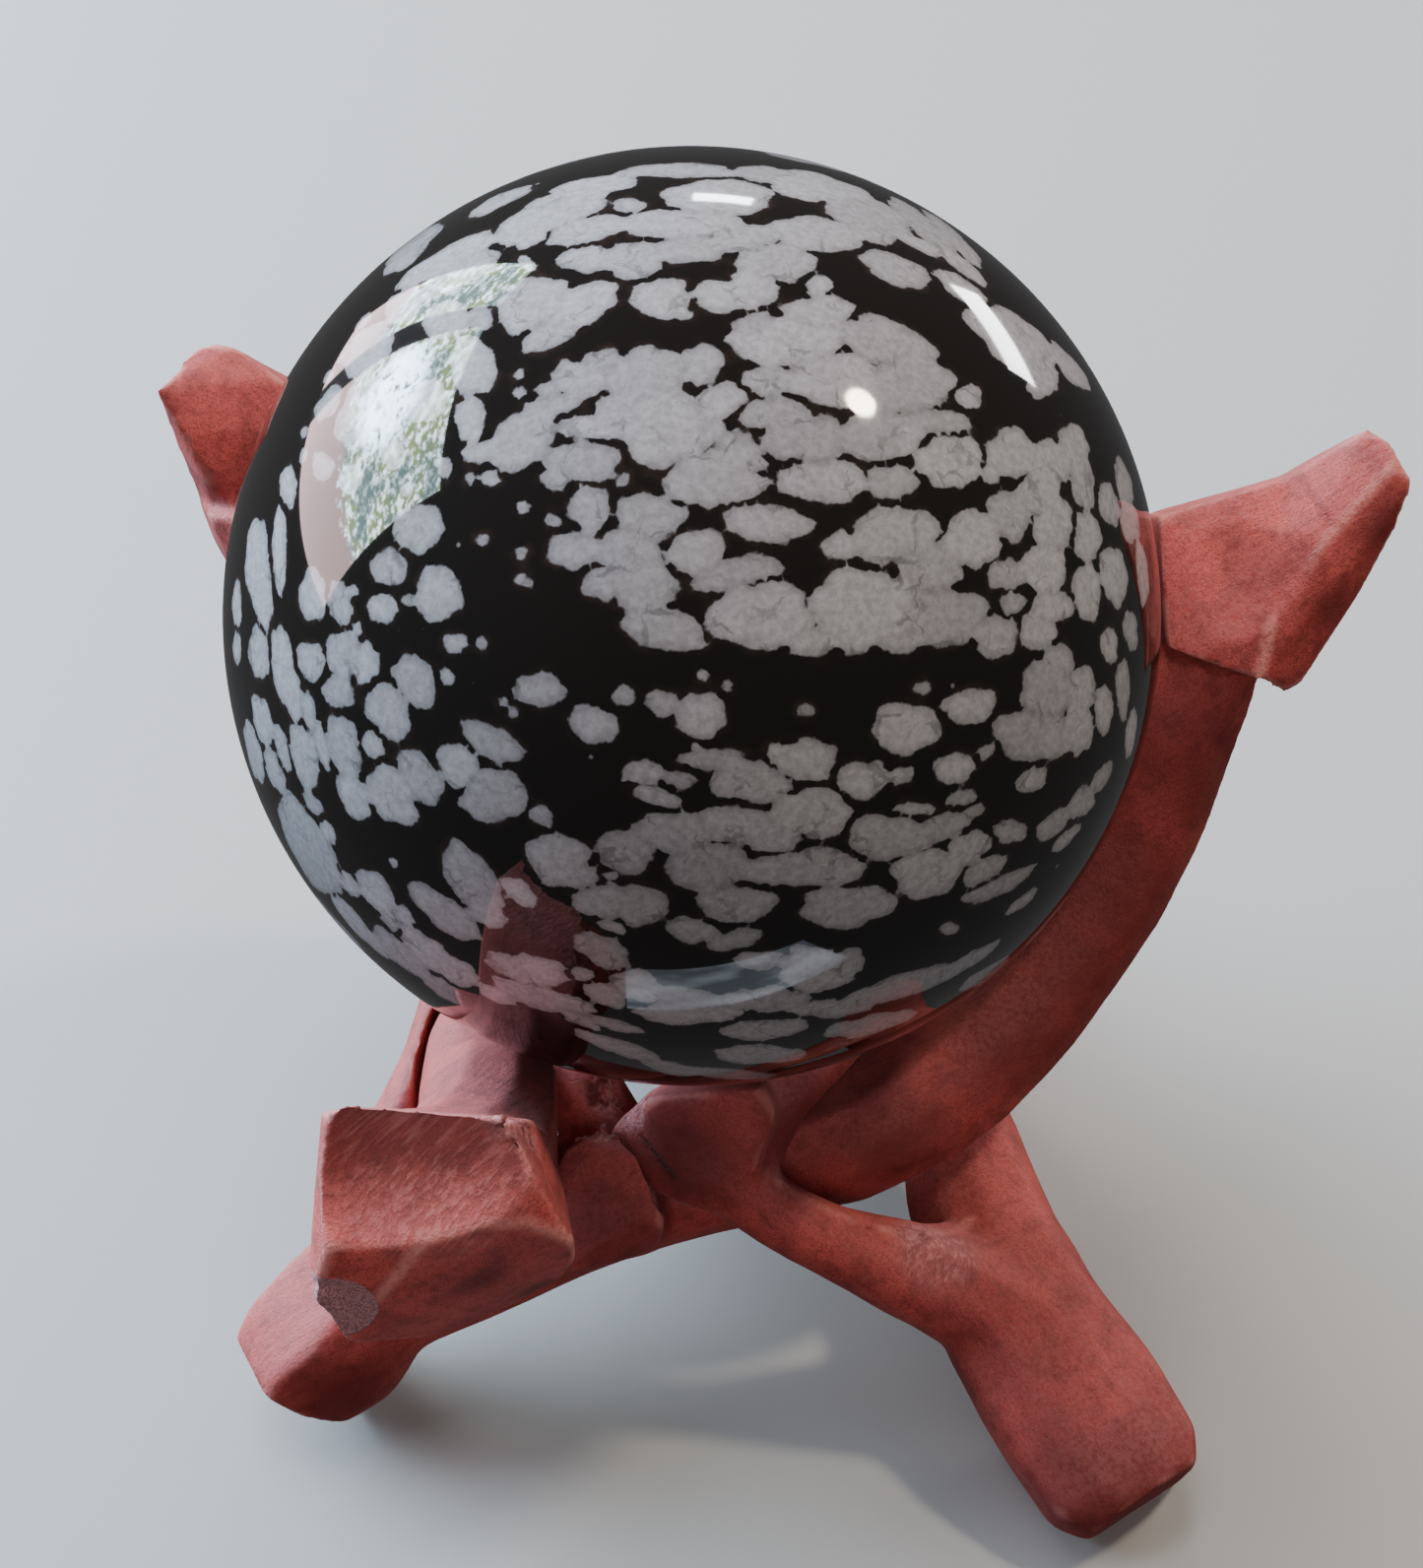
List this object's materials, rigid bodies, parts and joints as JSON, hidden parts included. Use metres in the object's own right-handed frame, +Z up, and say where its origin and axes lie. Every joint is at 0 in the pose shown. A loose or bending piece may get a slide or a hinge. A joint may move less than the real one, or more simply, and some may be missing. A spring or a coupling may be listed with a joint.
{
  "type": "snowflake obsidian sphere on a wooden tripod",
  "caption": "Polished snowflake obsidian ball resting in a folding carved wooden tripod stand.",
  "frame": {"origin": "on the floor that the feet rest on, under the middle of the whole part's bounding box", "axes": "+Z up, -Y towards the viewer of the picture, +X towards the right-hand leg's head"},
  "size_m": [0.0842, 0.0854, 0.084],
  "materials": {
    "obsidian": "polished",
    "stained_wood": "matte"
  },
  "bodies": {
    "root": {"obsidian_sphere": "obsidian", "right_leg": "stained_wood", "back_leg": "stained_wood", "front_leg": "stained_wood"}
  },
  "joints": []
}
